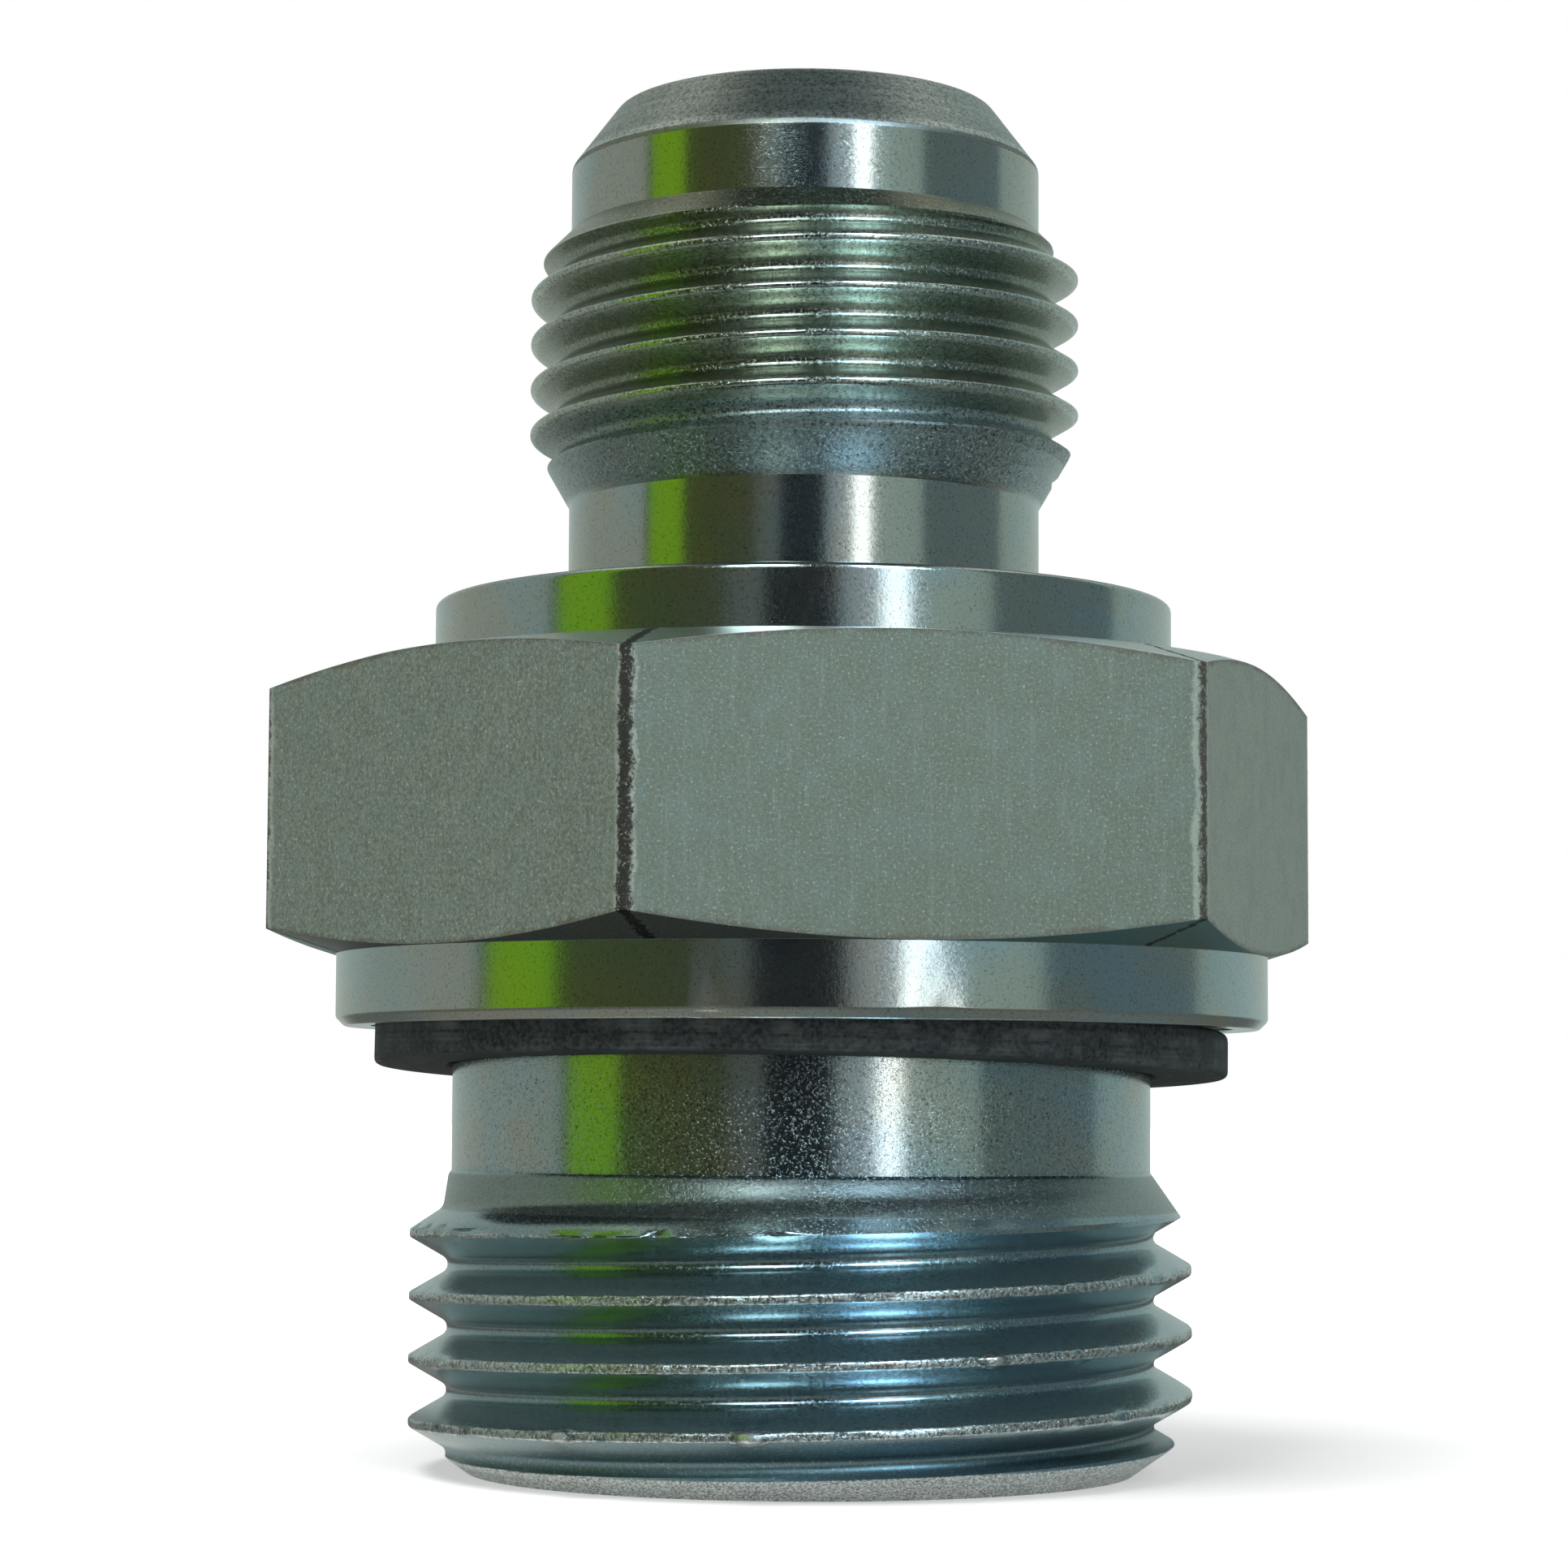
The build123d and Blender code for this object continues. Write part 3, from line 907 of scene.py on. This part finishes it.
def plating_film(shop, spot, area, marks):
    """Colour of the plating over the whole body, with painted shade on the hexagon's downward
    chamfer and on the flat facing the camera, and painted light on the flat to its right.
    """
    under_chamfer_shade = shop.colour_mix(spot.angle.ramp(*UNDER_CHAMFER_SHADE_TURN), *UNDER_CHAMFER_SHADE)
    seam = shop.colour_mix(area.deep, *SEAM_FILM)
    scar, shade = chip_marks(shop, spot, marks)
    grainy = (area.tube + area.neck_wall + area.relief + area.nose) * 0.3
    dull = area.tube + area.relief + area.nose + area.stud * 0.4 + area.neck_wall * 0.5
    return shop.layered(turned_film(shop, area, marks), (
        (area.flats, bar_film(shop, spot, marks)),
        # Painted shade: the hexagon's downward chamfer darkened, brown turning to teal round it
        (area.chamfer * area.underside * 0.85, under_chamfer_shade),
        (area.rim * 0.7, RIM_FILM),
        (area.fringe * 0.6, FRINGE_FILM),
        (area.seam * 0.95, seam),
        (area.inside * 0.6, BORE_FILM),
        (marks.speck.ramp(0.58, 0.70) * (0.3 + grainy), BRIGHT_SPECK),
        (marks.speck.ramp(0.44, 0.32) * (0.45 + grainy), DARK_SPECK),
        (marks.grain.ramp(0.5, 0.36) * dull * 0.45, DULL_GRAIN),
        (shade * area.stud * 0.6, CHIP_SHADE),
        (scar * area.stud * 0.8, CHIP_SCAR),
    ))


def plating_roughness(area, marks):
    return (0.07 + marks.grain * 0.08 + marks.blotch * 0.04
            + area.flats * 0.4 + area.nose * 0.22 + area.worn * 0.3
            - area.stud_crest * 0.2 - area.tube_crest * 0.07 + area.collar_top * 0.1
            + area.end_chamfer * 0.25 + area.relief * 0.12 + area.chamfer * 0.2
            + area.stud * 0.05 + area.tube * 0.09 + area.foot_flank * 0.12
            + area.seam * 0.3 + area.lip * 0.3)


def plating_height(area, marks):
    """Fine relief of the plating: peel, grain, pits, tool lines, streaks and open seams."""
    round_wall = 1 - area.flats
    pits = marks.speck.ramp(0.56, 0.66)
    grain_share = 0.4 + area.relief + area.nose * 2.0 + area.flats * 2.0 + area.worn * 3.0
    pit_share = (0.08 + area.neck_wall * 0.35 + area.relief * 2.4 + area.stud * 0.35
                 + area.tube * 0.8 + area.worn)
    tool_share = area.nose * 3.0 + area.end_cone * 1.5 + round_wall * 0.25
    return (marks.peel * round_wall * 0.2 + marks.grain * grain_share + pits * pit_share
            + marks.tool * tool_share + marks.streak * area.flats * 1.2 - area.seam * 4.0)


def plated_steel():
    """Clear zinc plating: bright where it was turned, satin on the bar flats and the cones."""
    made, shop, shader, place = material("plated_steel")
    spot = spot_on_body(shop, place)
    marks = plating_marks(shop, place, spot)
    area = SimpleNamespace()
    for areas in (bar_areas, stud_areas, tube_areas):
        areas(area, spot, marks)
    shop.feed(shader.inputs["Base Color"], plating_film(shop, spot, area, marks))
    shop.feed(shader.inputs["Metallic"],
              1 - area.flats * 0.65 - area.end_cone * 0.45 - area.worn * 0.1)
    shop.feed(shader.inputs["Roughness"], plating_roughness(area, marks))
    bump(shop, shader, plating_height(area, marks), PLATING_RELIEF)
    return made


def seal_rubber():
    """Matt black rubber with faint marks round the ring and a dusty bloom."""
    made, shop, shader, place = material("seal_rubber")
    x, y, z = shop.parts(place)
    radius = shop.distance(x, y)
    grain = shop.noise(place, *RUBBER_GRAIN)
    marks = shop.noise(shop.vector(0, radius * 0.8, z + x * 0.02), *RUBBER_MARKS)
    bloom = shop.noise(place, *RUBBER_CLOUD).ramp(0.42, 0.7)
    dark = shop.colour_mix(grain.ramp(0.3, 0.7), *BLACK_RUBBER)
    dusty = bloom * marks.ramp(0.4, 0.65) * 0.8
    shop.feed(shader.inputs["Base Color"], shop.colour_mix(dusty, dark, RUBBER_BLOOM))
    shop.feed(shader.inputs["Roughness"], 0.5 + grain * 0.25)
    shader.inputs["Specular IOR Level"].default_value = 0.3
    bump(shop, shader, grain * 0.6 + marks, RUBBER_RELIEF)
    return made


# ---------------------------------------------------------------- the two pieces
plating = plated_steel()
rubber = seal_rubber()

body = turn("turned_body", body_rows(), plating)
seal = turn("seal_ring", ring_rows(), rubber)
high_side = math.radians(SEAL_TILT_DIRECTION)
tilt_axis = Vector((math.sin(high_side), -math.cos(high_side), 0))
seal.data.transform(
    Matrix.Translation((0, 0, SEALING_FACE_Z * MM))
    @ Matrix.Rotation(math.radians(SEAL_TILT), 4, tilt_axis)
)
for piece, node, slot in ((body, "adapter_body", "plated_steel"),
                          (seal, "face_seal_ring", "seal_rubber")):
    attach(piece, "root")
    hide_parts(node)

# ---------------------------------------------------------------- floor, light, camera
CAMERA_HEADING = 77.31            # degrees from +X, the way the camera looks
CAMERA_PITCH = 4.647
CAMERA_ROLL = 0.283
CAMERA_PLACE = (-31.16, -135.46, 12.17)
CAMERA_LENS = 92.56
SENSOR_WIDTH = 36
NEAREST = 0.005                   # metres
FARTHEST = 20

# Cards round the fitting: degrees from straight behind the camera, plus to its right
CARDS = (
    (-180, (0.50, 0.57, 0.54)),
    (-125, (0.29, 0.33, 0.30)),
    (-84, (0.26, 0.30, 0.28)),
    (-82, (0.09, 0.11, 0.09)),
    (-80.5, (0.09, 0.11, 0.09)),
    (-79.5, (0.17, 0.35, 0.02)),
    (-61, (0.17, 0.35, 0.02)),
    (-59.5, (0.065, 0.085, 0.03)),
    (-25, (0.055, 0.065, 0.035)),
    (-22, (0.09, 0.10, 0.08)),
    (-13, (0.11, 0.12, 0.11)),
    (-11, (0.015, 0.018, 0.02)),
    (9, (0.015, 0.018, 0.02)),
    (12, (0.24, 0.28, 0.29)),
    (23, (0.36, 0.41, 0.43)),
    (24, (1.85, 2.0, 2.1)),
    (31, (1.85, 2.0, 2.1)),
    (32, (0.28, 0.37, 0.36)),
    (58, (0.27, 0.36, 0.35)),
    (59, (0.10, 0.145, 0.155)),
    (108, (0.12, 0.165, 0.18)),
    (110, (0.26, 0.35, 0.34)),
    (180, (0.50, 0.57, 0.54)),
)
# Lamps on the cards: from and to, round as above and up, in degrees
LAMPS = (
    (-22, -5, 26, 42, (6.8, 8.4, 8.6)),
    (19, 36, 26, 42, (7.6, 11.4, 15.0)),
)
LAMP_EDGE_ROUND = 0.006           # turns
LAMP_EDGE_UP = 3
ROOF_EDGE = (48, 57)              # degrees up
ROOF_MIDDLE = (62, 72)
FRONT_REACH = (0.22, 0.12)        # turns either side of the camera
BACK_ROOF = rgb(0.62, 0.64, 0.59)
FRONT_ROOF = rgb(0.14, 0.15, 0.14)
ROOF_MIDDLE_COLOUR = rgb(0.05, 0.065, 0.06)

# The base cloth, from the foot of the fitting out to the cards; left and right of the camera
FOOT_SIDES = (-14, 8)
FOOT_CLOTH = (rgb(0.22, 0.23, 0.21), rgb(0.14, 0.17, 0.17))
NEAR_SIDES = (-12, 6)
NEAR_CLOTH = (rgb(0.95, 0.96, 0.90), rgb(0.60, 0.66, 0.66))
NEAR_RADIUS = (15, 13.6)
DARK_RADIUS = (20, 34)
DARK_CLOTH = rgb(0.13, 0.14, 0.13)
CARD_RADIUS = (50, 130)
CLOTH_Z = (2.0, 1.0)

# The tent, the floor and the lamp, in metres
TENT_RADIUS = 0.5
TENT_HEIGHT = 0.42
CLOTH_HOLE = 0.0119
CLOTH_LIFT = 0.0003
FLOOR_REACH = 3
SOFTBOX_SIZE = 0.25
SOFTBOX_PLACE = (-0.12, -0.15, 0.38)
TENT_SIDES = 96                   # a count
SOFTBOX_POWER = 1.2               # watts

FLOOR_COLOUR = rgb(0.8, 0.8, 0.8)
FLOOR_SHADE = (30, 160)           # mm out, over which the floor's own glow comes up
FLOOR_GLOW = 0.36
FLOOR_GLOW_RISE = 0.66
ROOM_LIGHT = rgb(0.55, 0.56, 0.56)
WHITE = rgb(1, 1, 1)


def seen(shop):
    """1 for what the camera sees straight, in a reflection or through glass."""
    path = shop.node("ShaderNodeLightPath").outputs
    straight, glossy, through = (Value(shop, path[name]) for name in (
        "Is Camera Ray", "Is Glossy Ray", "Is Transmission Ray"))
    return (straight + glossy + through).min(1.0)


def stage_piece(name, points, faces, finish):
    mesh = bpy.data.meshes.new(name)
    mesh.from_pydata(points, [], faces)
    piece = bpy.data.objects.new(name, mesh)
    bpy.context.scene.collection.objects.link(piece)
    mesh.materials.append(finish)
    return piece


def pale_floor():
    """White to the eye and in reflections, with the shadow of the fitting kept."""
    made, shop, shader, place = material("pale_floor")
    shader.inputs["Base Color"].default_value = FLOOR_COLOUR
    shader.inputs["Roughness"].default_value = 1
    shader.inputs["Specular IOR Level"].default_value = 0
    x, y, _ = shop.parts(place)
    away = shop.distance(x, y).ramp(*FLOOR_SHADE)
    glow = shop.node("ShaderNodeEmission", {}, {
        "Color": WHITE, "Strength": seen(shop) * (FLOOR_GLOW + away * FLOOR_GLOW_RISE)})
    both = shop.node("ShaderNodeAddShader", {}, {0: shader.outputs[0], 1: glow.outputs[0]})
    shop.feed(made.node_tree.nodes["Material Output"].inputs["Surface"], both.outputs[0])
    return made


def floor():
    reach = FLOOR_REACH
    points = [(-reach, -reach, 0), (reach, -reach, 0), (reach, reach, 0), (-reach, reach, 0)]
    stage_piece("floor", points, [(0, 1, 2, 3)], pale_floor())


def base_cloth(shop, x, y, flat_radius, cards):
    """The cloth: pale beside the fitting, dark round that and then the cards' own colours."""
    look = math.radians(CAMERA_HEADING)
    right = x * math.sin(look) - y * math.cos(look)
    foot = shop.colour_mix(right.ramp(*FOOT_SIDES), *FOOT_CLOTH)
    near = shop.colour_mix(right.ramp(*NEAR_SIDES), *NEAR_CLOTH)
    return shop.layered(foot, (
        (flat_radius.ramp(*NEAR_RADIUS), near),
        (flat_radius.ramp(*DARK_RADIUS), DARK_CLOTH),
        (flat_radius.ramp(*CARD_RADIUS), cards),
    ))


def card_paint():
    """The cards of the light tent, banded round the axis and dimmer overhead."""
    made, shop, _, place = material("card_paint")
    x, y, z = shop.parts(place)
    flat_radius = shop.distance(x, y)
    heading = shop.math("ARCTAN2", y, x)
    round_turn = (heading / (2 * math.pi) - (CAMERA_HEADING + 180) / 360 + 0.5) % 1.0
    steep = shop.math("ARCTAN2", z, flat_radius) * (180 / math.pi)
    cards = shop.node(
        "ShaderNodeValToRGB",
        {"stops": [((degrees + 180) / 360, colour) for degrees, colour in CARDS]},
        {"Fac": round_turn}).outputs["Color"]
    front = (round_turn - 0.5).abs().ramp(*FRONT_REACH)
    roof = shop.colour_mix(front, BACK_ROOF, FRONT_ROOF)
    roof = shop.colour_mix(steep.ramp(*ROOF_MIDDLE), roof, ROOF_MIDDLE_COLOUR)
    paint = shop.layered(cards, (
        (steep.ramp(*ROOF_EDGE), roof),
        (z.ramp(*CLOTH_Z), base_cloth(shop, x, y, flat_radius, cards)),
    ))
    for start, end, low, high, colour in LAMPS:
        across = round_turn.window((180 + start) / 360, (180 + end) / 360, LAMP_EDGE_ROUND)
        lamp = steep.window(low, high, LAMP_EDGE_UP) * across
        paint = shop.colour_mix(lamp, paint, rgb(*colour))
    glow = shop.node("ShaderNodeEmission", {}, {"Color": paint, "Strength": 1})
    shop.feed(made.node_tree.nodes["Material Output"].inputs["Surface"], glow.outputs[0])
    return made


def light_tent():
    """A ring of cards with a roof and a base cloth, which only reflections see."""
    points = []
    for side in range(TENT_SIDES):
        heading = 2 * math.pi * side / TENT_SIDES
        for radius, height in ((CLOTH_HOLE, CLOTH_LIFT), (TENT_RADIUS, CLOTH_LIFT),
                               (TENT_RADIUS, TENT_HEIGHT)):
            points.append((radius * math.cos(heading), radius * math.sin(heading), height))
    points.append((0, 0, TENT_HEIGHT))
    top = len(points) - 1
    faces = []
    for side in range(TENT_SIDES):
        here = 3 * side
        there = 3 * ((side + 1) % TENT_SIDES)
        faces.append((here, here + 1, there + 1, there))
        faces.append((here + 1, here + 2, there + 2, there + 1))
        faces.append((here + 2, top, there + 2))
    tent = stage_piece("light_tent", points, faces, card_paint())
    tent.visible_camera = False
    tent.visible_diffuse = False
    tent.visible_shadow = False
    tent.visible_transmission = False


def room():
    """Soft light from all round for matt surfaces and a white background."""
    world = bpy.data.worlds.new("studio")
    bpy.context.scene.world = world
    world.use_nodes = True
    shop = Shop(world.node_tree)
    soft = world.node_tree.nodes["Background"]
    soft.inputs["Color"].default_value = ROOM_LIGHT
    white = shop.node("ShaderNodeBackground", {}, {"Color": WHITE})
    mix = shop.node("ShaderNodeMixShader", {}, {
        0: seen(shop), 1: soft.outputs[0], 2: white.outputs[0]})
    shop.feed(world.node_tree.nodes["World Output"].inputs["Surface"], mix.outputs[0])


def softbox():
    """A round lamp above, which reflections don't see."""
    lamp_data = bpy.data.lights.new("softbox", "AREA")
    lamp_data.shape = "DISK"
    lamp_data.size = SOFTBOX_SIZE
    lamp_data.energy = SOFTBOX_POWER
    lamp = bpy.data.objects.new("softbox", lamp_data)
    bpy.context.scene.collection.objects.link(lamp)
    lamp.location = SOFTBOX_PLACE
    lamp.rotation_mode = "QUATERNION"
    lamp.rotation_quaternion = lamp.location.to_track_quat("Z", "Y")
    lamp.visible_glossy = False


def camera():
    """The camera, low in front of the fitting and looking a little up at it."""
    data = bpy.data.cameras.new("camera")
    data.sensor_width = SENSOR_WIDTH
    data.lens = CAMERA_LENS
    data.clip_start = NEAREST
    data.clip_end = FARTHEST
    made = bpy.data.objects.new("camera", data)
    bpy.context.scene.collection.objects.link(made)
    made.matrix_world = (
        Matrix.Translation(Vector(CAMERA_PLACE) * MM)
        @ Matrix.Rotation(math.radians(CAMERA_HEADING - 90), 4, "Z")
        @ Matrix.Rotation(math.radians(90 + CAMERA_PITCH), 4, "X")
        @ Matrix.Rotation(math.radians(CAMERA_ROLL), 4, "Z")
    )
    return made


floor()
light_tent()
room()
softbox()

bpy.context.scene.camera = camera()
bpy.context.scene.view_settings.view_transform = "Standard"

bpy.context.view_layer.update()
